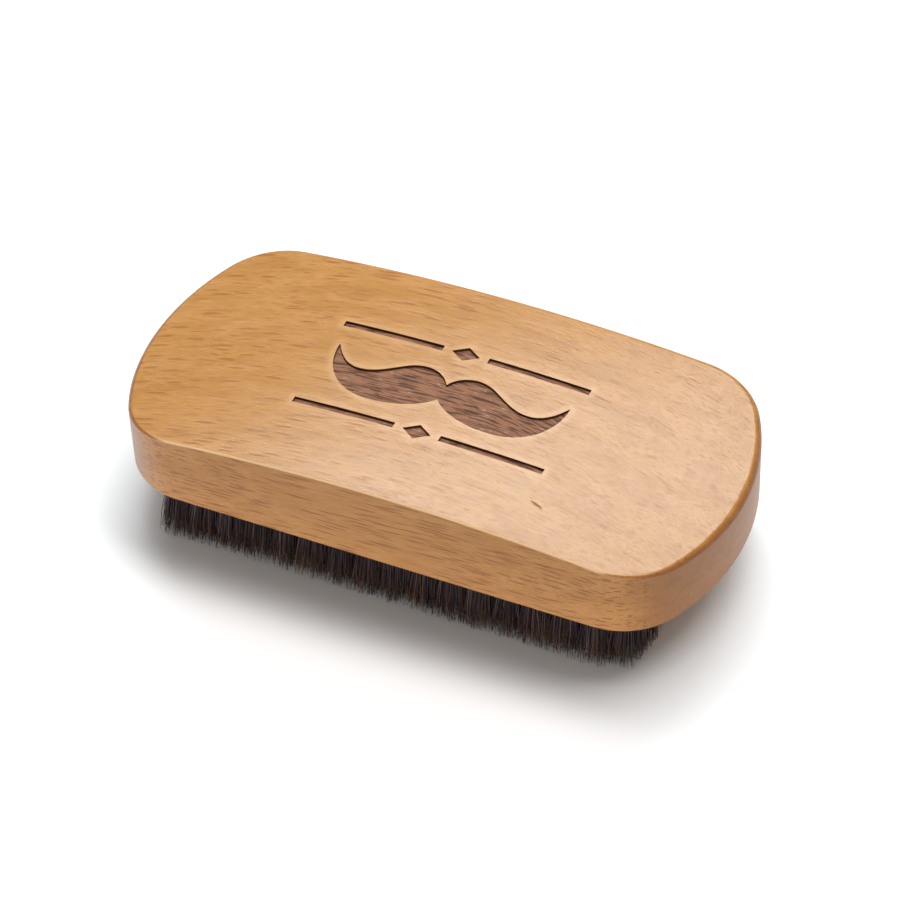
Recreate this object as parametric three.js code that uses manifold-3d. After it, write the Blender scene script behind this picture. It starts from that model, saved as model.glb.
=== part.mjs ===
// A palm-held beard brush: one solid beech handle, machine-filled with tufts of dark bristle.
// Each tuft is a bundle folded in half over a flat wire anchor, which is driven to the bottom of
// a blind hole in the handle's flat underside and bites into the wood on both sides of the hole.
//
// Millimetres. +X runs along the handle, +Z is up. The origin is under the middle of the brush,
// on the surface that its bristle tips rest on.
import * as THREE from "three";
import { mergeVertices } from "three/addons/utils/BufferGeometryUtils.js";
import Module from "manifold-3d";

// Handle
const LENGTH = 110;
const WIDTH = 53;
const THICKNESS = 16; // at the middle of the crowned top
const CROWN_DROP = 4.3; // how much lower the top is at its two ends
const END_RADIUS = 42; // the bowed short sides
const CORNER_RADIUS = 13.4;
const TOP_ROUND = 1.3; // edge round between the top and the sides
const BASE_ROUND = 0.8; // edge round between the underside and the sides

// Bristle field
const BRISTLE_LENGTH = 13; // from the underside to the trimmed tips
const COLUMNS = 17; // rows of tufts that cross the brush
const TUFTS_PER_ROW = 8;
const PITCH_X = 5.2;
const PITCH_Y = 5.3;
const HOLE_RADIUS = 1.7;
const HOLE_DEPTH = 7.5;
const HOLE_CLEARANCE = 0.1;
const TIP_HALF_X = 2.45; // half the spread of a tuft at its tips
const TIP_HALF_Y = 2.95; // over half the pitch there, so that the tips of a row run together
const TIP_LEAN = 1; // how far the outermost tips lean outwards

// Flat wire anchors, joined into one strip for each row
const ANCHOR_THICKNESS = 0.4;
const ANCHOR_HEIGHT = 2;
const ANCHOR_BITE = 0.5; // how far an anchor reaches into the wood past its hole
const ANCHOR_CLEARANCE = 0.1;
const FOLD_THICKNESS = 0.9; // bristle between the anchor and the hole's end

// Engraved ornament in the middle of the top
const ENGRAVING_DEPTH = 0.5;
const MOUSTACHE_TIP = { x: 21.5, y: 5.2 };
const RULE = { inner: 4.2, outer: 23, height: 1.3, offset: 10.2 };
const LOZENGE = { halfWidth: 2.6, halfHeight: 1.7 };

// How finely curves are cut into straight pieces
const END_STEPS = 6;
const CORNER_STEPS = 8;
const SIDE_STEPS = 6;
const ROUND_STEPS = 3;
const CURVE_STEPS = 6;
const TUFT_SIDES = 6;

const UNDERSIDE = BRISTLE_LENGTH;
const HOLE_END = UNDERSIDE + HOLE_DEPTH;
const ANCHOR_TOP = HOLE_END - FOLD_THICKNESS;
const ANCHOR_MIDDLE = ANCHOR_TOP - ANCHOR_HEIGHT / 2;
const OUTER_Y = ((TUFTS_PER_ROW - 1) / 2) * PITCH_Y;
const OUTER_X = ((COLUMNS - 1) / 2) * PITCH_X;

// Where the bowed end, the corner and the straight side of the outline meet
const END_CENTRE = LENGTH / 2 - END_RADIUS;
const CORNER_Y = WIDTH / 2 - CORNER_RADIUS;
const CORNER_X = END_CENTRE + Math.sqrt((END_RADIUS - CORNER_RADIUS) ** 2 - CORNER_Y ** 2);
const CORNER_START = Math.atan2(CORNER_Y, CORNER_X - END_CENTRE);

const wasm = await Module();
wasm.setup();

const BEECH = new THREE.MeshStandardMaterial({ color: 0xc98d53, roughness: 0.45, metalness: 0 });
const BRISTLE = new THREE.MeshStandardMaterial({ color: 0x241c1b, roughness: 0.7, metalness: 0 });
const WIRE = new THREE.MeshStandardMaterial({ color: 0xb89a4c, roughness: 0.35, metalness: 1 });

// A closed geometry as a solid that can be joined and cut.
function solidOf(geometry) {
  const bare = geometry.clone();
  bare.deleteAttribute("normal");
  bare.deleteAttribute("uv");
  const merged = mergeVertices(bare, 1e-4);
  return new wasm.Manifold(
    new wasm.Mesh({
      numProp: 3,
      vertProperties: new Float32Array(merged.attributes.position.array),
      triVerts: new Uint32Array(merged.index.array),
    }),
  );
}

function geometryOf(solid) {
  const mesh = solid.getMesh();
  const geometry = new THREE.BufferGeometry();
  geometry.setAttribute("position", new THREE.BufferAttribute(new Float32Array(mesh.vertProperties), 3));
  geometry.setIndex(new THREE.BufferAttribute(new Uint32Array(mesh.triVerts), 1));
  geometry.computeVertexNormals();
  return geometry;
}

// A closed skin over rings of points, lowest ring first. Each ring starts on the +X side, runs
// anticlockwise seen from above, and is symmetric about X, so that the lids are strips across Y.
function loft(rings) {
  const count = rings[0].length;
  const positions = rings.flat().flatMap((p) => [p.x, p.y, p.z]);
  const index = [];
  for (let level = 0; level + 1 < rings.length; level++) {
    for (let i = 0; i < count; i++) {
      const a = level * count + i;
      const b = level * count + ((i + 1) % count);
      index.push(a, b, b + count, a, b + count, a + count);
    }
  }
  const top = (rings.length - 1) * count;
  for (let i = 0; i < count / 2; i++) {
    const mirror = (count - i) % count;
    const [a, b, c, d] = [i, i + 1, count - i - 1, mirror];
    for (const [p, q, r] of [[a, b, c], [a, c, d]]) {
      if (p === q || q === r || r === p) continue;
      index.push(top + p, top + q, top + r, p, r, q);
    }
  }
  const geometry = new THREE.BufferGeometry();
  geometry.setAttribute("position", new THREE.Float32BufferAttribute(positions, 3));
  geometry.setIndex(index);
  return geometry;
}

function arc(centreX, centreY, radius, from, to, steps) {
  return new THREE.EllipseCurve(centreX, centreY, radius, radius, from, to).getPoints(steps);
}

// The handle's outline, drawn in by inset: one quarter, mirrored in X and then in Y.
function handleOutline(inset) {
  const end = arc(END_CENTRE, 0, END_RADIUS - inset, 0, CORNER_START, END_STEPS);
  const corner = arc(CORNER_X, CORNER_Y, CORNER_RADIUS - inset, CORNER_START, Math.PI / 2, CORNER_STEPS);
  const side = [];
  for (let k = 1; k <= SIDE_STEPS; k++) {
    side.push(new THREE.Vector2(CORNER_X * (1 - k / SIDE_STEPS), WIDTH / 2 - inset));
  }
  const quarter = [...end, ...corner.slice(1), ...side];
  quarter[0].y = 0;
  const left = quarter.slice(0, -1).reverse().map((p) => new THREE.Vector2(-p.x, p.y));
  const half = [...quarter, ...left];
  const below = half.slice(1, -1).reverse().map((p) => new THREE.Vector2(p.x, -p.y));
  return [...half, ...below];
}

function topHeight(x) {
  return UNDERSIDE + THICKNESS - CROWN_DROP * (x / (LENGTH / 2)) ** 2;
}

function handleBlank() {
  const rings = [];
  for (let k = 0; k <= ROUND_STEPS; k++) {
    const angle = (k / ROUND_STEPS) * (Math.PI / 2);
    const inset = BASE_ROUND * (1 - Math.sin(angle));
    const z = UNDERSIDE + BASE_ROUND * (1 - Math.cos(angle));
    rings.push(handleOutline(inset).map((p) => new THREE.Vector3(p.x, p.y, z)));
  }
  for (let k = 0; k <= ROUND_STEPS; k++) {
    const angle = (k / ROUND_STEPS) * (Math.PI / 2);
    const inset = TOP_ROUND * (1 - Math.cos(angle));
    const below = TOP_ROUND * (1 - Math.sin(angle));
    rings.push(handleOutline(inset).map((p) => new THREE.Vector3(p.x, p.y, topHeight(p.x) - below)));
  }
  return solidOf(loft(rings));
}

// The ornament's outlines: a plain moustache between two rules, each with a lozenge in its gap.
function ornamentShapes() {
  const tip = MOUSTACHE_TIP;
  const moustache = new THREE.Shape();
  moustache.moveTo(0, 2);
  moustache.bezierCurveTo(1.4, 4.8, 5, 5.9, 8.2, 3.9);
  moustache.bezierCurveTo(11, 2.2, 13, 0.4, 16, 0.6);
  moustache.bezierCurveTo(18.4, 0.8, 20, 2.6, tip.x, tip.y);
  moustache.bezierCurveTo(21.6, -0.4, 18, -5.6, 11.5, -5.9);
  moustache.bezierCurveTo(6.5, -6.1, 2.2, -4.4, 0, -1.8);
  moustache.bezierCurveTo(-2.2, -4.4, -6.5, -6.1, -11.5, -5.9);
  moustache.bezierCurveTo(-18, -5.6, -21.6, -0.4, -tip.x, tip.y);
  moustache.bezierCurveTo(-20, 2.6, -18.4, 0.8, -16, 0.6);
  moustache.bezierCurveTo(-13, 0.4, -11, 2.2, -8.2, 3.9);
  moustache.bezierCurveTo(-5, 5.9, -1.4, 4.8, 0, 2);
  const shapes = [moustache];
  for (const y of [RULE.offset, -RULE.offset]) {
    for (const [from, to] of [[-RULE.outer, -RULE.inner], [RULE.inner, RULE.outer]]) {
      const low = y - RULE.height / 2;
      const high = y + RULE.height / 2;
      shapes.push(polygon([[from, low], [to, low], [to, high], [from, high]]));
    }
    const { halfWidth, halfHeight } = LOZENGE;
    shapes.push(polygon([[halfWidth, y], [0, y + halfHeight], [-halfWidth, y], [0, y - halfHeight]]));
  }
  return shapes;
}

function polygon(corners) {
  return new THREE.Shape(corners.map(([x, y]) => new THREE.Vector2(x, y)));
}

// The ornament's recess keeps one depth below the crowned top.
function engraving(blank) {
  const options = { depth: THICKNESS, bevelEnabled: false, curveSegments: CURVE_STEPS };
  const prisms = ornamentShapes().map((shape) => {
    const prism = new THREE.ExtrudeGeometry(shape, options);
    prism.translate(0, 0, UNDERSIDE + THICKNESS / 2);
    return solidOf(prism);
  });
  const floor = blank.translate([0, 0, -ENGRAVING_DEPTH]);
  return wasm.Manifold.union(prisms).subtract(floor);
}

// A regular ring round a tuft, stretched to its half sizes. It starts on the +X side.
function tuftRing(x, y, z, halfX, halfY) {
  const ring = [];
  const flat = Math.cos(Math.PI / TUFT_SIDES); // the sides across Y reach only this share of the radius
  for (let i = 0; i < TUFT_SIDES; i++) {
    const angle = (i / TUFT_SIDES) * 2 * Math.PI;
    ring.push(new THREE.Vector3(x + halfX * Math.cos(angle), y + (halfY / flat) * Math.sin(angle), z));
  }
  return ring;
}

function holeSolid(x, y) {
  const below = UNDERSIDE - 1;
  const flat = HOLE_RADIUS * Math.cos(Math.PI / TUFT_SIDES);
  return solidOf(
    loft([tuftRing(x, y, below, HOLE_RADIUS, flat), tuftRing(x, y, HOLE_END, HOLE_RADIUS, flat)]),
  );
}

function tuftSolid(x, y) {
  const radius = HOLE_RADIUS - HOLE_CLEARANCE;
  const flat = radius * Math.cos(Math.PI / TUFT_SIDES);
  const tipX = x + TIP_LEAN * (x / OUTER_X);
  const tipY = y + TIP_LEAN * (y / OUTER_Y);
  return solidOf(
    loft([
      tuftRing(tipX, tipY, 0, TIP_HALF_X, TIP_HALF_Y),
      tuftRing(x, y, UNDERSIDE, radius, flat),
      tuftRing(x, y, HOLE_END - HOLE_CLEARANCE, radius, flat),
    ]),
  );
}

// The strip of anchors of the row at x, grown by margin on every side.
function anchorBox(x, margin) {
  const length = 2 * (OUTER_Y + HOLE_RADIUS + ANCHOR_BITE + margin);
  const box = new THREE.BoxGeometry(ANCHOR_THICKNESS + 2 * margin, length, ANCHOR_HEIGHT + 2 * margin);
  box.translate(x, 0, ANCHOR_MIDDLE);
  return box;
}

function addMesh(group, name, geometry, material) {
  const mesh = new THREE.Mesh(geometry, material);
  mesh.name = name;
  group.add(mesh);
}

function tuftCentres(x) {
  return Array.from({ length: TUFTS_PER_ROW }, (_, k) => [x, k * PITCH_Y - OUTER_Y]);
}

function build() {
  const brush = new THREE.Group();
  const blank = handleBlank();
  const cuts = [engraving(blank)];
  for (let column = 0; column < COLUMNS; column++) {
    const x = column * PITCH_X - OUTER_X;
    const label = String(column + 1).padStart(2, "0");
    const slot = solidOf(anchorBox(x, ANCHOR_CLEARANCE));
    const tufts = tuftCentres(x).map((centre) => tuftSolid(...centre));
    cuts.push(slot, ...tuftCentres(x).map((centre) => holeSolid(...centre)));
    addMesh(brush, `tuft_row_${label}`, geometryOf(wasm.Manifold.union(tufts).subtract(slot)), BRISTLE);
    addMesh(brush, `anchor_row_${label}`, anchorBox(x, 0), WIRE);
  }
  addMesh(brush, "handle", geometryOf(blank.subtract(wasm.Manifold.union(cuts))), BEECH);
  return brush;
}

export default build();
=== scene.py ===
import math

import bmesh
import bpy
import numpy as np
from mathutils import Matrix, Vector, noise


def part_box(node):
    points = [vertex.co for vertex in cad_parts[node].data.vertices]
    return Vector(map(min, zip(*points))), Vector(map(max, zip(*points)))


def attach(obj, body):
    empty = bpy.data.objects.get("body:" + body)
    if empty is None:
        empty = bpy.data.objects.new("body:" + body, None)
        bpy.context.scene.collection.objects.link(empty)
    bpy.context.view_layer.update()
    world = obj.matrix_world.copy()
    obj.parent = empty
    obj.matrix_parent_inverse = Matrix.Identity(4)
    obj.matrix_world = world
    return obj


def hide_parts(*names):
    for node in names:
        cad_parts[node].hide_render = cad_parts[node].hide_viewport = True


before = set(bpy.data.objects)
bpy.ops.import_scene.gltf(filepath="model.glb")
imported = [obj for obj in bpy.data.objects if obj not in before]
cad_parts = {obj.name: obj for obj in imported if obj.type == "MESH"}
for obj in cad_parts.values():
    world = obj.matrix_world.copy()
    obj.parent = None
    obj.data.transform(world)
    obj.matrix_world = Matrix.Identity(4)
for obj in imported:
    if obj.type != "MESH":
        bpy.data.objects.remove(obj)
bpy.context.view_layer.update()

# The handle blank. One block of beech, sawn to a straight-sided outline with bowed ends and round
# corners. Its top is crowned along its length and its edges are sanded round, least at the front.
MM = 0.001
handle_low, handle_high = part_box("handle")
UNDERSIDE = handle_low.z
TOP = handle_high.z
HALF_LENGTH = handle_high.x
HALF_WIDTH = handle_high.y
CROWN_DROP = 4.3 * MM
END_RADIUS = 42 * MM
END_STEPS = 20
CORNER_RADIUS = 13.4 * MM
CORNER_STEPS = 26
TOP_ROUND = 1.2 * MM
FRONT_ROUND_SHARE = 0.34  # the part of TOP_ROUND that the front edge gets
BASE_ROUND = 0.45 * MM
END_CENTRE = HALF_LENGTH - END_RADIUS
CORNER_Y = HALF_WIDTH - CORNER_RADIUS
CORNER_X = END_CENTRE + math.sqrt((END_RADIUS - CORNER_RADIUS) ** 2 - CORNER_Y**2)
CORNER_START = math.atan2(CORNER_Y, CORNER_X - END_CENTRE)
TOUCHING = 0.01 * MM


def take(piece):
    """Selects only this piece and makes it the active one."""
    bpy.ops.object.select_all(action="DESELECT")
    piece.select_set(True)
    bpy.context.view_layer.objects.active = piece


def pick(piece, kind, test):
    """In edit mode, selects the EDGEs or FACEs whose every corner passes the test."""
    bpy.ops.mesh.select_mode(type=kind)
    bpy.ops.mesh.select_all(action="DESELECT")
    shape = bmesh.from_edit_mesh(piece.data)
    for part in shape.edges if kind == "EDGE" else shape.faces:
        part.select_set(all(test(corner.co) for corner in part.verts))
    shape.select_flush_mode()
    bmesh.update_edit_mesh(piece.data)


def finish_modifier(piece, kind, **settings):
    """Adds a modifier of this kind and applies it."""
    take(piece)
    bpy.ops.object.modifier_add(type=kind)
    modifier = piece.modifiers[-1]
    for name, value in settings.items():
        setattr(modifier, name, value)
    bpy.ops.object.modifier_apply(modifier=modifier.name)


bpy.ops.object.select_all(action="DESELECT")
bpy.ops.mesh.primitive_plane_add(size=MM)
handle = bpy.context.object
handle.name = "beech_handle"
bpy.ops.object.mode_set(mode="EDIT")
bpy.ops.mesh.merge(type="CENTER")
bpy.ops.transform.translate(value=(HALF_LENGTH, 0, UNDERSIDE))
bpy.ops.mesh.spin(
    steps=END_STEPS, angle=CORNER_START, center=(END_CENTRE, 0, UNDERSIDE), axis=(0, 0, -1)
)
bpy.ops.mesh.spin(
    steps=CORNER_STEPS,
    angle=math.pi / 2 - CORNER_START,
    center=(CORNER_X, CORNER_Y, UNDERSIDE),
    axis=(0, 0, -1),
)
bpy.ops.mesh.extrude_region_move(TRANSFORM_OT_translate={"value": (-CORNER_X, 0, 0)})
bpy.ops.object.mode_set(mode="OBJECT")
finish_modifier(
    handle, "MIRROR", use_axis=(True, True, False), use_mirror_merge=True, merge_threshold=TOUCHING
)
bpy.ops.object.mode_set(mode="EDIT")
bpy.ops.mesh.select_all(action="SELECT")
bpy.ops.mesh.edge_face_add()
bpy.ops.mesh.extrude_region_move(TRANSFORM_OT_translate={"value": (0, 0, TOP - UNDERSIDE)})
bpy.ops.mesh.select_all(action="SELECT")
bpy.ops.mesh.normals_make_consistent(inside=False)
pick(handle, "EDGE", lambda at: at.z < UNDERSIDE + TOUCHING)
bpy.ops.mesh.bevel(offset=BASE_ROUND, segments=5, affect="EDGES")
bpy.ops.object.mode_set(mode="OBJECT")
sanding = handle.data.attributes.new("bevel_weight_edge", "FLOAT", "EDGE")
for edge, share in zip(handle.data.edges, sanding.data):
    ends = [handle.data.vertices[number].co for number in edge.vertices]
    middle = (ends[0] + ends[1]) / 2
    if min(end.z for end in ends) > TOP - TOUCHING:
        reach = (abs(middle.x) - CORNER_X) / (HALF_LENGTH - CORNER_X)
        reach = 1 if middle.y > 0 else min(max(reach, 0), 1)
        share.value = FRONT_ROUND_SHARE + (1 - FRONT_ROUND_SHARE) * reach**2
finish_modifier(handle, "BEVEL", width=TOP_ROUND, segments=6, limit_method="WEIGHT")
take(handle)
bpy.ops.object.mode_set(mode="EDIT")

# Cross cuts let the flat block take its crown, first in the middle and then out to each end.
# Where the ornament goes, cuts along the block and a subdivision make a close net.
CUT_PITCH = 1 * MM
MIDDLE_CUTS = 25  # on each side
OUTER_CUTS = 29
LONG_CUTS = 13
NET_HALF_LENGTH = 25 * MM
NET_HALF_WIDTH = 12.5 * MM
cross_cuts = list(range(-MIDDLE_CUTS, MIDDLE_CUTS))
cross_cuts += range(-MIDDLE_CUTS - 1, -MIDDLE_CUTS - 1 - OUTER_CUTS, -1)
cross_cuts += range(MIDDLE_CUTS, MIDDLE_CUTS + OUTER_CUTS)
for step in cross_cuts:
    x = (step + 0.5) * CUT_PITCH
    bpy.ops.mesh.select_all(action="SELECT")
    bpy.ops.mesh.bisect(plane_co=(x, 0, 0), plane_no=(1, 0, 0), threshold=TOUCHING)
for step in range(-LONG_CUTS, LONG_CUTS):
    y = (step + 0.5) * CUT_PITCH
    pick(handle, "FACE", lambda at: at.z > TOP - TOUCHING and abs(at.x) < NET_HALF_LENGTH)
    bpy.ops.mesh.bisect(plane_co=(0, y, 0), plane_no=(0, 1, 0), threshold=TOUCHING)
pick(
    handle,
    "FACE",
    lambda at: at.z > TOP - TOUCHING and abs(at.x) < NET_HALF_LENGTH and abs(at.y) < NET_HALF_WIDTH,
)
bpy.ops.mesh.subdivide(number_cuts=2)
bpy.ops.mesh.select_mode(type="FACE")
bpy.ops.mesh.select_face_by_sides(number=4, type="GREATER", extend=False)
bpy.ops.mesh.quads_convert_to_tris(ngon_method="BEAUTY")
bpy.ops.object.mode_set(mode="OBJECT")
crown = handle.vertex_groups.new(name="crown")
for corner in handle.data.vertices:
    if corner.co.z > (TOP + UNDERSIDE) / 2:
        crown.add([corner.index], (corner.co.x / HALF_LENGTH) ** 2, "REPLACE")
finish_modifier(
    handle, "DISPLACE", direction="Z", mid_level=0, strength=-CROWN_DROP, vertex_group="crown"
)
handle.vertex_groups.clear()

# Lacquered beech. Pale fibres with short dark rays, wider and fainter on the top. The end grain
# drinks more lacquer, so it is darker and duller, as is the edge above it, and both carry painted
# shade too.
# The sides are lightened with painted light, most towards the bottom, and the front edge with a
# painted highlight.
GRAIN_ARCH = 0.0024  # how the grain bows sideways, per millimetre
GRAIN_RISE = -0.03
GRAIN_SWAY = 2.2
PALE_WOOD = (0.505, 0.25, 0.074)
DEEP_WOOD = (0.44, 0.206, 0.055)
CLOUDY_WOOD = (0.515, 0.255, 0.083)
FIBRE = (0.33, 0.125, 0.028)
PORE = (0.27, 0.1, 0.028)
SIDE_RAY = (0.27, 0.1, 0.024)
TOP_RAY = (0.33, 0.12, 0.022)
SIDE_PAINTED_LIGHT_LOW = (1.32, 1.24, 1.22)
SIDE_PAINTED_LIGHT_HIGH = (1.13, 1.05, 0.99)
END_GRAIN_AND_SHADE = (0.57, 0.5, 0.45)
SOAKED_AND_SHADED_EDGE = (0.74, 0.6, 0.5)
PAINTED_EDGE_HIGHLIGHT = (0.92, 0.6, 0.34)
PAINTED_LIP_HIGHLIGHT = (0.68, 0.41, 0.2)
NICK_COLOUR = (0.26, 0.1, 0.022)
NICK_PLACE = [part * MM for part in (25, -17.5, 28.1)]
NICK_TURN = math.radians(-20)
NICK_SIZE = [part * MM for part in (1.6, 0.36, 3)]


def add_node(tree, kind, sockets, **settings):
    """Adds a shader node. Each socket is given a value, or the output that feeds it."""
    made = tree.nodes.new("ShaderNode" + kind)
    for name, value in settings.items():
        setattr(made, name, value)
    for socket, value in sockets.items():
        if isinstance(value, bpy.types.NodeSocket):
            tree.links.new(value, made.inputs[socket])
        else:
            made.inputs[socket].default_value = value
    return made.outputs


def calc(tree, operation, *values):
    """A number worked out from others."""
    return add_node(tree, "Math", dict(enumerate(values)), operation=operation)[0]


def fade(tree, value, empty, full):
    """0 where value is empty, 1 where it is full, and soft between them."""
    sockets = {"Value": value, "From Min": empty, "From Max": full}
    return add_node(tree, "MapRange", sockets, interpolation_type="SMOOTHSTEP")[0]


def tint(tree, amount, under, over, blend="MIX"):
    """The colour over laid on the colour under, by amount."""
    sockets = {0: amount, 6: (*under, 1) if isinstance(under, tuple) else under}
    sockets[7] = (*over, 1) if isinstance(over, tuple) else over
    return add_node(tree, "Mix", sockets, data_type="RGBA", blend_type=blend)[2]


def stretched(tree, place, sizes):
    """The place in cells of the given sizes."""
    cells = {0: place, 1: [1 / size for size in sizes]}
    return add_node(tree, "VectorMath", cells, operation="MULTIPLY")[0]


def cloud(tree, place, sizes, detail=2):
    """Soft noise whose spots have the given sizes."""
    sockets = {"Vector": stretched(tree, place, sizes), "Scale": 1, "Detail": detail}
    return add_node(tree, "TexNoise", sockets)[0]


def dashes(tree, place, sizes, reach, kept):
    """Marks scattered one to a cell, as long and wide as reach times the cell. Some are left out."""
    cell = add_node(tree, "TexVoronoi", {"Vector": stretched(tree, place, sizes), "Scale": 1})
    chance = add_node(tree, "SeparateColor", {"Color": cell["Color"]})
    size = calc(tree, "MULTIPLY_ADD", chance[1], 0.5 * reach, 0.5 * reach)
    mark = fade(tree, calc(tree, "DIVIDE", cell["Distance"], size), 1, 0.45)
    return calc(tree, "MULTIPLY", mark, calc(tree, "LESS_THAN", chance[0], kept))


def xyz(tree, vector):
    """The three parts of a vector."""
    return add_node(tree, "SeparateXYZ", {0: vector})


def piece_place(tree):
    """The place in millimetres."""
    place = add_node(tree, "TexCoord", {})["Object"]
    return add_node(tree, "VectorMath", {0: place, "Scale": 1 / MM}, operation="SCALE")[0]


def grain_place(tree):
    """The place in millimetres, straightened so that the grain of the block runs along x."""
    place = piece_place(tree)
    x = xyz(tree, place)[0]
    arch = calc(tree, "MULTIPLY", calc(tree, "MULTIPLY", x, x), GRAIN_ARCH)
    rise = calc(tree, "MULTIPLY", x, GRAIN_RISE)
    bend = add_node(tree, "CombineXYZ", {1: arch, 2: rise})[0]
    slow = {"Vector": stretched(tree, place, (30, 9, 9)), "Scale": 1, "Detail": 1}
    sway = {0: add_node(tree, "TexNoise", slow)["Color"], 1: (0, GRAIN_SWAY, GRAIN_SWAY)}
    sway = add_node(tree, "VectorMath", sway, operation="MULTIPLY")[0]
    place = add_node(tree, "VectorMath", {0: place, 1: bend}, operation="ADD")[0]
    return add_node(tree, "VectorMath", {0: place, 1: sway}, operation="ADD")[0]


def new_material(name, roughness, **constants):
    """A material with its shader, and its node tree."""
    made = bpy.data.materials.new(name)
    made.use_nodes = True
    shader = made.node_tree.nodes["Principled BSDF"]
    shader.inputs["Roughness"].default_value = roughness
    for socket, value in constants.items():
        shader.inputs[socket.replace("_", " ")].default_value = value
    return made, made.node_tree, shader


def relief(tree, shader, height, depth):
    """Gives the surface small hills, depth high where height is 1."""
    bump = add_node(tree, "Bump", {"Height": height, "Distance": depth, "Strength": 1})
    tree.links.new(bump[0], shader.inputs["Normal"])


lacquered_beech, tree, shader = new_material("lacquered_beech", 0.17, Specular_IOR_Level=0.32)
place = grain_place(tree)
along, _, high = xyz(tree, place)
facing = xyz(tree, add_node(tree, "NewGeometry", {})["Normal"])
upward = fade(tree, calc(tree, "ABSOLUTE", facing[2]), 0.6, 0.95)
endward = fade(tree, calc(tree, "ABSOLUTE", facing[0]), 0.25, 0.95)
fibre = cloud(tree, place, (3.5, 0.17, 0.17), 3)
bands = cloud(tree, place, (60, 3.2, 1.6), 3)
patches = cloud(tree, place, (9, 3, 3), 3)
rays = dashes(tree, place, (8, 0.95, 0.42), 0.56, 0.95)
wide_rays = dashes(tree, place, (6, 0.85, 0.85), 0.52, 0.65)
pores = dashes(tree, place, (2.1, 0.24, 0.24), 0.34, 0.8)
wood = tint(tree, fade(tree, bands, 0.3, 0.7), PALE_WOOD, DEEP_WOOD)
wood = tint(tree, fade(tree, patches, 0.42, 0.7), wood, CLOUDY_WOOD)
wood = tint(tree, calc(tree, "MULTIPLY", fade(tree, fibre, 0.42, 0.7), 0.5), wood, FIBRE)
few_pores = calc(tree, "MULTIPLY", pores, calc(tree, "MULTIPLY_ADD", endward, -0.22, 0.35))
wood = tint(tree, few_pores, wood, PORE)
side_rays = calc(tree, "MULTIPLY", rays, calc(tree, "MULTIPLY_ADD", upward, -0.65, 0.92))
side_rays = calc(tree, "MULTIPLY", side_rays, calc(tree, "MULTIPLY_ADD", endward, -0.75, 1))
wood = tint(tree, side_rays, wood, SIDE_RAY)
clear = fade(tree, along, -20, 15)
top_share = calc(tree, "MULTIPLY", upward, calc(tree, "MULTIPLY_ADD", clear, -0.48, 0.74))
wood = tint(tree, calc(tree, "MULTIPLY", wide_rays, top_share), wood, TOP_RAY)
# Painted light: the sides are lightened, more towards the bottom than near the top.
side_painted_light = tint(tree, fade(tree, high, 15, 23), SIDE_PAINTED_LIGHT_LOW, SIDE_PAINTED_LIGHT_HIGH)
wood = tint(tree, calc(tree, "SUBTRACT", 1, upward), wood, side_painted_light, "MULTIPLY")
# The ends are darkened partly for their end grain and partly as painted shade.
wood = tint(tree, endward, wood, END_GRAIN_AND_SHADE, "MULTIPLY")
edge = calc(tree, "MULTIPLY", fade(tree, facing[2], 0.985, 0.9), fade(tree, facing[2], 0.1, 0.35))
at_end = fade(tree, calc(tree, "ABSOLUTE", facing[0]), 0.08, 0.3)
# The rounded edges over the ends are darkened partly for the lacquer they soak up and partly as
# painted shade.
soaked_and_shaded = calc(tree, "MULTIPLY", edge, calc(tree, "MULTIPLY", at_end, fade(tree, patches, 0.3, 0.6)))
wood = tint(tree, calc(tree, "MULTIPLY", soaked_and_shaded, 0.8), wood, SOAKED_AND_SHADED_EDGE, "MULTIPLY")
# Painted highlight: the rounded front edge is lightened where it would catch the light.
edge_highlight = calc(tree, "MULTIPLY", edge, calc(tree, "SUBTRACT", 1, at_end))
edge_highlight = calc(tree, "MULTIPLY", edge_highlight, fade(tree, facing[1], 0.3, -0.1))
wood = tint(tree, calc(tree, "MULTIPLY", edge_highlight, 0.8), wood, PAINTED_EDGE_HIGHLIGHT)
from_ornament = add_node(tree, "Attribute", {}, attribute_name="from_ornament")["Fac"]
# Painted highlight: a pale halo round the ornament, as if a raised lip there caught the light.
lip_highlight = calc(tree, "MULTIPLY", fade(tree, from_ornament, 1.7, 0.2), upward)
wood = tint(tree, calc(tree, "MULTIPLY", lip_highlight, 0.32), wood, PAINTED_LIP_HIGHLIGHT)
spot = add_node(tree, "TexCoord", {})["Object"]
spot = {0: spot, 1: NICK_PLACE, 2: (0, 0, NICK_TURN), 3: NICK_SIZE}
spot = add_node(tree, "Mapping", spot, vector_type="TEXTURE")[0]
nick = fade(tree, add_node(tree, "VectorMath", {0: spot}, operation="LENGTH")["Value"], 1, 0.5)
wood = tint(tree, calc(tree, "MULTIPLY", nick, 0.85), wood, NICK_COLOUR)
tree.links.new(wood, shader.inputs["Base Color"])
dull = calc(tree, "MULTIPLY_ADD", nick, 0.5, calc(tree, "MULTIPLY_ADD", endward, 0.26, 0.13))
tree.links.new(dull, shader.inputs["Roughness"])
hills = calc(tree, "MULTIPLY_ADD", pores, -0.5, calc(tree, "MULTIPLY", fibre, 0.55))
hills = calc(tree, "MULTIPLY_ADD", cloud(tree, place, (1.1, 0.5, 0.5), 2), 0.6, hills)
hills = calc(tree, "MULTIPLY_ADD", wide_rays, -0.35, hills)
hills = calc(tree, "MULTIPLY_ADD", nick, -0.8, hills)
relief(tree, shader, hills, 0.016 * MM)
handle.data.materials.append(lacquered_beech)

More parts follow.
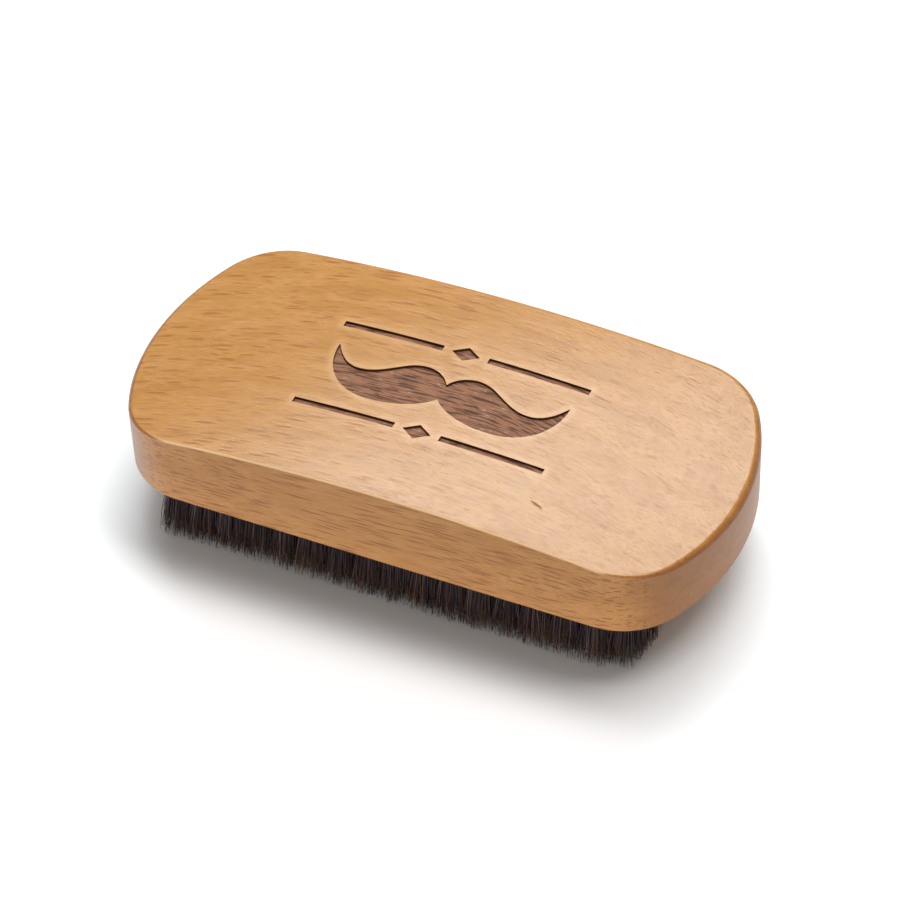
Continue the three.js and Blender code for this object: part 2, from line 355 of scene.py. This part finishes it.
# The engraved ornament. A laser burns a plain moustache between two rules half a millimetre
# into the crown. It goes through the lacquer and leaves a brown floor, ribbed by the harder wood.
ENGRAVING_DEPTH = 0.5 * MM
CUTTER_HEIGHT = 6 * MM
RULE_INNER = 4.2 * MM
RULE_OUTER = 23 * MM
RULE_HEIGHT = 1.3 * MM
RULE_OFFSET = 10.2 * MM
RIB_HEIGHT = 0.16 * MM
RIB_LENGTH = 6 * MM
RIB_PITCH = 1.1 * MM
LOZENGE_HALF_WIDTH = 2.6 * MM
LOZENGE_HALF_HEIGHT = 1.7 * MM
BURNT_HOLLOW = (0.08, 0.028, 0.013)
BURNT_RIB = (0.29, 0.128, 0.064)
BURNT_AND_SHADED_WALL = (0.075, 0.026, 0.01)
SCORCH = (0.12, 0.046, 0.025)
ASH_AND_GLINT = (0.46, 0.34, 0.32)
# The moustache's right half in millimetres, from its dip to its chin: each point of the curve,
# and the handles before and after it.
MOUSTACHE = [
    ((0, 2), (-1.4, 4.8), (1.4, 4.8)),
    ((8.2, 3.9), (5, 5.9), (11, 2.2)),
    ((16, 0.6), (13, 0.4), (18.4, 0.8)),
    ((21.5, 5.2), (20, 2.6), (21.6, -0.4)),
    ((11.5, -5.9), (18, -5.6), (6.5, -6.1)),
    ((0, -1.8), (2.2, -4.4), (-2.2, -4.4)),
]


def cut_away(piece, cutter):
    """Takes the cutter's solid away from the piece. The new walls keep the cutter's material."""
    settings = dict(operation="DIFFERENCE", solver="EXACT", material_mode="TRANSFER")
    finish_modifier(piece, "BOOLEAN", object=cutter, **settings)


def copy_of(piece, name):
    """A copy of a piece with a mesh of its own."""
    twin = piece.copy()
    twin.data = piece.data.copy()
    twin.name = name
    bpy.context.scene.collection.objects.link(twin)
    return twin


def settle(piece):
    """Puts the piece's place and size into its mesh."""
    take(piece)
    bpy.ops.object.transform_apply(location=True, rotation=True, scale=True)


def join(pieces, name):
    """Joins pieces into one, named name."""
    take(pieces[0])
    for piece in pieces[1:]:
        piece.select_set(True)
    bpy.ops.object.join()
    pieces[0].name = name
    return pieces[0]


left_half = [
    ((-x, y), (-after_x, after_y), (-before_x, before_y))
    for (x, y), (before_x, before_y), (after_x, after_y) in reversed(MOUSTACHE[1:-1])
]
bpy.ops.object.select_all(action="DESELECT")
bpy.ops.curve.primitive_bezier_curve_add(location=(0, 0, TOP - CUTTER_HEIGHT / 2))
moustache = bpy.context.object
outline = moustache.data.splines[0]
outline.bezier_points.add(len(MOUSTACHE + left_half) - 2)
for point, places in zip(outline.bezier_points, MOUSTACHE + left_half):
    point.handle_left_type = "FREE"
    point.handle_right_type = "FREE"
    at, before, after = [Vector((*place, 0)) * MM for place in places]
    point.co = at
    point.handle_left = before
    point.handle_right = after
outline.use_cyclic_u = True
outline.resolution_u = 14
take(moustache)
bpy.ops.object.convert(target="MESH")
bpy.ops.object.mode_set(mode="EDIT")
bpy.ops.mesh.select_all(action="SELECT")
bpy.ops.mesh.edge_face_add()
bpy.ops.mesh.extrude_region_move(TRANSFORM_OT_translate={"value": (0, 0, CUTTER_HEIGHT)})
bpy.ops.mesh.select_all(action="SELECT")
bpy.ops.mesh.normals_make_consistent(inside=False)
bpy.ops.object.mode_set(mode="OBJECT")
marks = [moustache]
for y in (-RULE_OFFSET, RULE_OFFSET):
    for side in (-1, 1):
        bpy.ops.mesh.primitive_cube_add(
            size=1,
            location=(side * (RULE_INNER + RULE_OUTER) / 2, y, TOP),
            scale=(RULE_OUTER - RULE_INNER, RULE_HEIGHT, CUTTER_HEIGHT),
        )
        marks.append(bpy.context.object)
    bpy.ops.mesh.primitive_cylinder_add(
        vertices=4,
        radius=1,
        depth=1,
        location=(0, y, TOP),
        scale=(LOZENGE_HALF_WIDTH, LOZENGE_HALF_HEIGHT, CUTTER_HEIGHT),
    )
    marks.append(bpy.context.object)
for mark in marks:
    settle(mark)
ornament = join(marks, "ornament_cutter")
lowered = copy_of(handle, "lowered_blank")
lowered.data.transform(Matrix.Translation((0, 0, -ENGRAVING_DEPTH)))
cut_away(ornament, lowered)
finish_modifier(ornament, "WELD", merge_threshold=2 * TOUCHING)

burnt_beech, tree, shader = new_material("burnt_beech", 0.62, Specular_IOR_Level=0.25)
place = grain_place(tree)
ribs = cloud(tree, place, (4.5, 0.36, 0.36), 4)
fibre = cloud(tree, place, (1.6, 0.14, 0.14), 3)
floor = tint(tree, fade(tree, ribs, 0.38, 0.54), BURNT_HOLLOW, BURNT_RIB)
scorched = calc(tree, "MULTIPLY", fade(tree, fibre, 0.5, 0.7), 0.55)
floor = tint(tree, scorched, floor, SCORCH)
# Pale specks on the ribs: partly ash, and partly painted highlights on the rib tops.
ash_and_glints = dashes(tree, place, (1.5, 0.5, 0.5), 0.4, 0.6)
ash_and_glints = calc(tree, "MULTIPLY", ash_and_glints, fade(tree, ribs, 0.45, 0.6))
floor = tint(tree, calc(tree, "MULTIPLY", ash_and_glints, 0.6), floor, ASH_AND_GLINT)
facing = xyz(tree, add_node(tree, "NewGeometry", {})["Normal"])
# The steep walls of the ornament are darkened partly for their charring and partly as painted shade.
floor = tint(tree, fade(tree, facing[2], 0.8, 0.3), floor, BURNT_AND_SHADED_WALL)
tree.links.new(floor, shader.inputs["Base Color"])
relief(tree, shader, calc(tree, "MULTIPLY_ADD", fibre, 0.35, ribs), 0.16 * MM)
ornament.data.materials.clear()
ornament.data.materials.append(burnt_beech)
cut_away(handle, ornament)
bpy.data.objects.remove(lowered)

# The harder wood stands up from the burnt floor in low ribs along the grain.
floor_corners = set()
other_corners = set()
for face in handle.data.polygons:
    is_floor = face.material_index == 1 and face.normal.z > 0.9
    (floor_corners if is_floor else other_corners).update(face.vertices)
for number in floor_corners - other_corners:
    corner = handle.data.vertices[number].co
    across = corner.y + GRAIN_ARCH * corner.x**2 / MM
    corner.z += RIB_HEIGHT * noise.noise(Vector((corner.x / RIB_LENGTH, across / RIB_PITCH, 0)))

# How far each point of the surface is from the ornament, in millimetres, for the painted highlight
# round it.
lip = handle.data.attributes.new("from_ornament", "FLOAT", "POINT")
for corner, distance in zip(handle.data.vertices, lip.data):
    nearest = ornament.closest_point_on_mesh(corner.co)[1]
    distance.value = (nearest - corner.co).length / MM
bpy.data.objects.remove(ornament)

# The blind holes. Each is bored into the flat underside with a pointed drill and left bare. The
# slit across its inner end is where the anchor bites into the wood.
rows = sorted(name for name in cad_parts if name.startswith("anchor_row"))
anchor_low, anchor_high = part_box(rows[0])
ROW_X = [(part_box(name)[0].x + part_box(name)[1].x) / 2 for name in rows]
HOLE_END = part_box("tuft_row_01")[1].z
HOLE_RADIUS = 1.7 * MM
DRILL_SIDES = 18
DRILL_POINT = 0.9 * MM
DRILL_START = UNDERSIDE - 1 * MM
TUFTS_PER_ROW = 8
PITCH_Y = 5.3 * MM
TUFT_Y = [(place - (TUFTS_PER_ROW - 1) / 2) * PITCH_Y for place in range(TUFTS_PER_ROW)]
ANCHOR_LENGTH = 4.4 * MM
ANCHOR_THICKNESS = anchor_high.x - anchor_low.x
ANCHOR_HEIGHT = anchor_high.z - anchor_low.z
ANCHOR_MIDDLE = (anchor_high.z + anchor_low.z) / 2
SLIT_CLEARANCE = 0.05 * MM
CRISP_ANGLE = math.radians(32)  # an edge that turns more than this stays crisp
BARE_WOOD = (0.6, 0.4, 0.22)
BARE_FIBRE = (0.4, 0.23, 0.11)
BARE_PORE = (0.25, 0.13, 0.06)

straight = HOLE_END - DRILL_POINT - DRILL_START
bpy.ops.object.select_all(action="DESELECT")
bpy.ops.mesh.primitive_cylinder_add(
    vertices=DRILL_SIDES,
    radius=HOLE_RADIUS,
    depth=straight,
    location=(0, 0, DRILL_START + straight / 2),
)
drill = bpy.context.object
settle(drill)
bpy.ops.object.mode_set(mode="EDIT")
pick(drill, "FACE", lambda at: at.z > UNDERSIDE)
bpy.ops.mesh.extrude_region_move(TRANSFORM_OT_translate={"value": (0, 0, DRILL_POINT)})
bpy.ops.mesh.merge(type="CENTER")
bpy.ops.object.mode_set(mode="OBJECT")
bpy.ops.mesh.primitive_cube_add(
    size=1,
    location=(0, 0, ANCHOR_MIDDLE),
    scale=(
        ANCHOR_THICKNESS + 2 * SLIT_CLEARANCE,
        ANCHOR_LENGTH + 2 * SLIT_CLEARANCE,
        ANCHOR_HEIGHT + 2 * SLIT_CLEARANCE,
    ),
)
slit = bpy.context.object
settle(slit)
finish_modifier(drill, "BOOLEAN", object=slit, operation="UNION", solver="EXACT")
bpy.data.objects.remove(slit)
holes = []
for x in ROW_X:
    for y in TUFT_Y:
        hole = copy_of(drill, "hole")
        hole.data.transform(Matrix.Translation((x, y, 0)))
        holes.append(hole)
drills = join(holes, "drills")
bare_beech, tree, shader = new_material("bare_beech", 0.75)
place = grain_place(tree)
fibre = cloud(tree, place, (2.2, 0.2, 0.2), 3)
bore = tint(tree, fade(tree, fibre, 0.35, 0.7), BARE_WOOD, BARE_FIBRE)
pores = dashes(tree, place, (2, 0.3, 0.3), 0.35, 0.8)
bore = tint(tree, calc(tree, "MULTIPLY", pores, 0.4), bore, BARE_PORE)
tree.links.new(bore, shader.inputs["Base Color"])
relief(tree, shader, fibre, 0.05 * MM)
drills.data.materials.clear()
drills.data.materials.append(bare_beech)
cut_away(handle, drills)
bpy.data.objects.remove(drills)
bpy.data.objects.remove(drill)
take(handle)
bpy.ops.object.shade_smooth_by_angle(angle=CRISP_ANGLE)
finish_modifier(handle, "WEIGHTED_NORMAL", keep_sharp=True)
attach(handle, "root")
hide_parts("handle")

# The anchors. Each tuft is held by a short length of flat brass wire, cropped with soft edges and
# driven on edge across the bottom of its hole, so that its two ends bite into the wood.
ANCHOR_ROUND = 0.07 * MM
ANCHOR_CRISP_ANGLE = math.radians(50)
BRASS = (0.78, 0.6, 0.28)
STAINED_BRASS = (0.5, 0.34, 0.14)
bpy.ops.object.select_all(action="DESELECT")
bpy.ops.mesh.primitive_cube_add(
    size=1,
    location=(0, 0, ANCHOR_MIDDLE),
    scale=(ANCHOR_THICKNESS, ANCHOR_LENGTH, ANCHOR_HEIGHT),
)
anchor = bpy.context.object
settle(anchor)
anchor_brass, tree, shader = new_material("anchor_brass", 0.3, Metallic=1)
place = piece_place(tree)
scuffs = cloud(tree, place, (0.1, 1.4, 0.06), 3)
stain = cloud(tree, place, (0.8, 0.8, 0.8), 3)
metal = tint(tree, fade(tree, stain, 0.4, 0.7), BRASS, STAINED_BRASS)
tree.links.new(metal, shader.inputs["Base Color"])
tree.links.new(calc(tree, "MULTIPLY_ADD", scuffs, 0.35, 0.16), shader.inputs["Roughness"])
relief(tree, shader, scuffs, 0.01 * MM)
anchor.data.materials.append(anchor_brass)
finish_modifier(anchor, "BEVEL", width=ANCHOR_ROUND, segments=2, limit_method="ANGLE")
take(anchor)
bpy.ops.object.shade_smooth_by_angle(angle=ANCHOR_CRISP_ANGLE)
for x, row in zip(ROW_X, rows):
    plates = []
    for y in TUFT_Y:
        plate = copy_of(anchor, "plate")
        plate.data.transform(Matrix.Translation((x, y, 0)))
        plates.append(plate)
    plates = join(plates, row.replace("anchor_row", "anchors"))
    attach(plates, "root")
    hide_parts(row)
bpy.data.objects.remove(anchor)

# The tufts. Natural dark bristle, folded in half over its anchor, so that every bristle shows two
# ends. The field is trimmed flat, but the ends stay ragged and draw together in small locks.
BRISTLES_PER_TUFT = 150
BRISTLE_RADIUS = 0.08 * MM
BRISTLE_SIDES = 3
LEG = [1, 0.7, 0.35, 0]  # the shares of a leg's length, from its end up to the mouth of the hole
FLARE_BEND = 0.6  # below 1, a leg turns outwards most at the mouth of the hole
TAPER = [0.45, 0.85, 1, 1, 1, 1]
RINGS = 2 * len(TAPER)
BUNDLE = 1.45 * MM
ALONG_ANCHOR = 0.95 * BUNDLE
CREST = (0.15 * MM, 0.6 * MM)  # the height of a fold above its anchor, and how much it may add
CREST_IN = 0.4  # how far in the crest starts, as a share of the leg's distance out
CLEAR_OF_ANCHOR = 0.33 * MM
FLARE = 1.85
TIP_SPREAD = 0.85 * MM
BOW = 0.34 * MM
LOCKS_PER_TUFT = 60
LOCK_PULL = 0.18
LOCK_DROP = 0.4 * MM  # the most by which a whole lock is shorter
TIP_DROP = 0.25 * MM
SHORT_SHARE = 0.1
SHORT_DROP = 2.5 * MM
TIP_HALF_X = 2.9 * MM
TIP_HALF_Y = 3 * MM
LEAN_X = 0.5 * MM
LEAN_Y = 2.1 * MM
CORNER_LEAN = 1.6 * MM  # the two corner tufts of the right end are drawn in
BLACK_HAIR = (0.023, 0.009, 0.015)
BROWN_HAIR = (0.068, 0.029, 0.031)
VIOLET_STREAK = (0.052, 0.032, 0.044)
AMBER_HAIR = (0.18, 0.078, 0.04)
GREY_HAIR_AND_GLINT = (0.15, 0.112, 0.135)
WORN_TIP = (0.3, 0.165, 0.08)


def folded_paths(dice, count):
    """Paths of bristles folded in a hole at the origin, each a row of places from end to end."""
    across = dice.uniform(-1, 1, count) * ALONG_ANCHOR
    room = np.sqrt(BUNDLE**2 - across**2)
    locks = dice.uniform(-1, 1, (LOCKS_PER_TUFT, 2)) * (TIP_HALF_X, TIP_HALF_Y)
    lock_drop = dice.uniform(0, LOCK_DROP, LOCKS_PER_TUFT)
    legs = []
    for side in (1, -1):
        spare = np.maximum(room - CLEAR_OF_ANCHOR, 0)
        out = side * (CLEAR_OF_ANCHOR + dice.uniform(0, 1, count) * spare)
        root = np.stack([out, across], 1)
        tip = root * FLARE + dice.normal(0, TIP_SPREAD, (count, 2))
        nearest = np.argmin(np.linalg.norm(tip[:, None] - locks[None], axis=2), 1)
        tip += LOCK_PULL * (locks[nearest] - tip)
        tip = np.clip(tip, (-TIP_HALF_X, -TIP_HALF_Y), (TIP_HALF_X, TIP_HALF_Y))
        bow = dice.normal(0, BOW, (count, 2))
        shorter = lock_drop[nearest] + np.abs(dice.normal(0, TIP_DROP, count))
        shorter += (dice.random(count) < SHORT_SHARE) * dice.uniform(0, SHORT_DROP, count)
        length = UNDERSIDE - shorter
        leg = np.zeros((count, len(TAPER), 3))
        for ring, share in enumerate(LEG):
            bowed = bow * 4 * share * (1 - share)
            leg[:, ring, :2] = root + (tip - root) * share**FLARE_BEND + bowed
            leg[:, ring, 2] = UNDERSIDE - length * share
        crest = CREST[0] + CREST[1] * np.abs(out) / BUNDLE
        leg[:, 4] = np.stack([out, across, np.full(count, anchor_high.z)], 1)
        leg[:, 5] = np.stack([CREST_IN * out, across, anchor_high.z + crest], 1)
        legs.append(leg)
    return np.concatenate([legs[0], legs[1][:, ::-1]], 1)


dark_bristle, tree, shader = new_material("dark_bristle", 0.36, Specular_IOR_Level=0.6)
place = piece_place(tree)
height = xyz(tree, place)[2]
tone = add_node(tree, "Attribute", {}, attribute_name="tone")["Fac"]
hair = tint(tree, tone, BLACK_HAIR, BROWN_HAIR)
streaks = fade(tree, cloud(tree, place, (0.6, 0.6, 2.5), 2), 0.45, 0.7)
hair = tint(tree, streaks, hair, VIOLET_STREAK)
hair = tint(tree, fade(tree, tone, 0.8, 0.86), hair, AMBER_HAIR)
# A few hairs are grey, with a bluish cast that is partly a painted glint.
hair = tint(tree, fade(tree, tone, 0.9, 0.93), hair, GREY_HAIR_AND_GLINT)
worn = calc(tree, "MULTIPLY", fade(tree, height, 6.5, 0.5), fade(tree, tone, 0.2, 0.9))
hair = tint(tree, calc(tree, "MULTIPLY", worn, 0.75), hair, WORN_TIP)
tree.links.new(hair, shader.inputs["Base Color"])
relief(tree, shader, cloud(tree, place, (0.05, 0.05, 0.7), 2), 0.01 * MM)
bpy.ops.object.select_all(action="DESELECT")
bpy.ops.mesh.primitive_circle_add(vertices=BRISTLE_SIDES, radius=BRISTLE_RADIUS, fill_type="NGON")
bristle = bpy.context.object
bpy.ops.object.mode_set(mode="EDIT")
for ring in range(RINGS - 1):
    bpy.ops.mesh.extrude_region_move(TRANSFORM_OT_translate={"value": (0, 0, MM)})
bpy.ops.mesh.select_all(action="SELECT")
bpy.ops.mesh.normals_make_consistent(inside=False)
bpy.ops.object.mode_set(mode="OBJECT")
bpy.ops.object.shade_smooth()
RING_OF = np.array([round(corner.co.z / MM) for corner in bristle.data.vertices])
TURN_OF = np.array([math.atan2(corner.co.y, corner.co.x) for corner in bristle.data.vertices])
bristle.data.materials.append(dark_bristle)
finish_modifier(
    bristle,
    "ARRAY",
    count=BRISTLES_PER_TUFT * TUFTS_PER_ROW,
    use_relative_offset=False,
    use_constant_offset=True,
    constant_offset_displace=(MM, 0, 0),
)


def comb(piece, x, dice):
    """Lays the straight bristles of a row into its eight tufts."""
    paths = []
    for y in TUFT_Y:
        tuft = folded_paths(dice, BRISTLES_PER_TUFT)
        share = np.clip((UNDERSIDE - tuft[..., 2]) / UNDERSIDE, 0, 1)
        lean_x = LEAN_X * x / ROW_X[-1]
        lean_y = LEAN_Y * (y / TUFT_Y[-1]) ** 3
        if x == ROW_X[-1] and abs(y) > TUFT_Y[-1] - TOUCHING:
            lean_x -= CORNER_LEAN / 2
            lean_y -= CORNER_LEAN * y / abs(y)
        tuft[..., 0] += x + lean_x * share
        tuft[..., 1] += y + lean_y * share
        paths.append(tuft)
    paths = np.concatenate(paths)
    along = np.gradient(paths, axis=1)
    along /= np.linalg.norm(along, axis=2, keepdims=True)
    beside = np.array([0, 1, 0]) - along * along[..., 1:2]
    beside /= np.linalg.norm(beside, axis=2, keepdims=True)
    behind = np.cross(along, beside)
    taper = np.array(TAPER + TAPER[::-1])
    thick = BRISTLE_RADIUS * dice.uniform(0.7, 1.3, len(paths))[:, None] * taper[None]
    turn = TURN_OF[None, :, None]
    corners = paths[:, RING_OF] + thick[:, RING_OF, None] * (
        np.cos(turn) * beside[:, RING_OF] + np.sin(turn) * behind[:, RING_OF]
    )
    corners[..., 2] = np.maximum(corners[..., 2], 0)
    piece.data.vertices.foreach_set("co", corners.ravel())
    tone = piece.data.attributes.new("tone", "FLOAT", "POINT")
    tone.data.foreach_set("value", np.repeat(dice.random(len(paths)), len(RING_OF)))
    piece.data.update()


for number, x in enumerate(ROW_X, 1):
    tufts = copy_of(bristle, f"bristle_tufts_{number:02d}")
    comb(tufts, x, np.random.default_rng(number))
    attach(tufts, "root")
    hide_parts(f"tuft_row_{number:02d}")
bpy.data.objects.remove(bristle)

# The studio. The brush stands on a white table under a wide softbox. A lower, cooler one behind
# it leaves its sheen on the right part of the lacquered top, and a reflector fills the front.
TABLE_SIZE = 4
TABLE_WHITE = (0.95, 0.95, 0.95)
TABLE_CLOUD = (0.97, 0.97, 0.97)
WORLD_LIGHT = 0.27
bpy.ops.object.select_all(action="DESELECT")
bpy.ops.mesh.primitive_plane_add(size=TABLE_SIZE)
table = bpy.context.object
table.name = "table"
white_table, tree, shader = new_material("white_table", 0.85, Specular_IOR_Level=0.1)
place = add_node(tree, "TexCoord", {})["Object"]
shade = tint(tree, cloud(tree, place, (0.3, 0.3, 0.3), 2), TABLE_WHITE, TABLE_CLOUD)
tree.links.new(shade, shader.inputs["Base Color"])
table.data.materials.append(white_table)


def softbox(name, place, width, height, radiance, roll=0, colour=(1, 1, 1)):
    """A rectangular light at place that faces the brush."""
    bpy.ops.object.light_add(type="AREA", location=place)
    lamp = bpy.context.object
    lamp.name = name
    facing = Vector(place).to_track_quat("Z", "Y").to_matrix() @ Matrix.Rotation(roll, 3, "Z")
    lamp.rotation_euler = facing.to_euler()
    lamp.data.shape = "RECTANGLE"
    lamp.data.size = width
    lamp.data.size_y = height
    lamp.data.energy = radiance * math.pi * width * height
    lamp.data.color = colour


softbox("overhead_softbox", (0.07, 0.22, 1.0), width=0.98, height=0.3, radiance=10.7)
softbox(
    "rear_softbox",
    (-0.25, 0.57, 0.75),
    width=0.8,
    height=0.17,
    radiance=9.4,
    roll=math.radians(-8),
    colour=(0.8, 0.93, 1),
)
softbox("front_reflector", (0.1, -1.0, 0.3), width=1.2, height=0.5, radiance=0.8)
world = bpy.data.worlds.new("studio")
world.use_nodes = True
sky = world.node_tree.nodes["Background"]
sky.inputs["Color"].default_value = (1, 1, 1, 1)
sky.inputs["Strength"].default_value = WORLD_LIGHT
bpy.context.scene.world = world
bpy.context.scene.view_settings.view_transform = "Standard"

# The camera. It looks down on the front right corner of the brush from about 60 cm with a long
# lens, and is tilted a little.
CAMERA_PLACE = Vector((184.35, -375.41, 429.51)) * MM
AZIMUTH = math.radians(26.018)
ELEVATION = math.radians(44.728)
ROLL = math.radians(-2.629)
SENSOR = 36
LENS = 136.83
back = Vector((
    math.sin(AZIMUTH) * math.cos(ELEVATION),
    -math.cos(AZIMUTH) * math.cos(ELEVATION),
    math.sin(ELEVATION),
))
right = Vector((math.cos(AZIMUTH), math.sin(AZIMUTH), 0))
up = back.cross(right)
bpy.ops.object.camera_add(location=CAMERA_PLACE)
camera = bpy.context.object
camera.data.sensor_width = SENSOR
camera.data.lens = LENS
camera.data.clip_start = 0.01
turned = Matrix((right, up, back)).transposed() @ Matrix.Rotation(ROLL, 3, "Z")
camera.rotation_euler = turned.to_euler()
bpy.context.scene.camera = camera
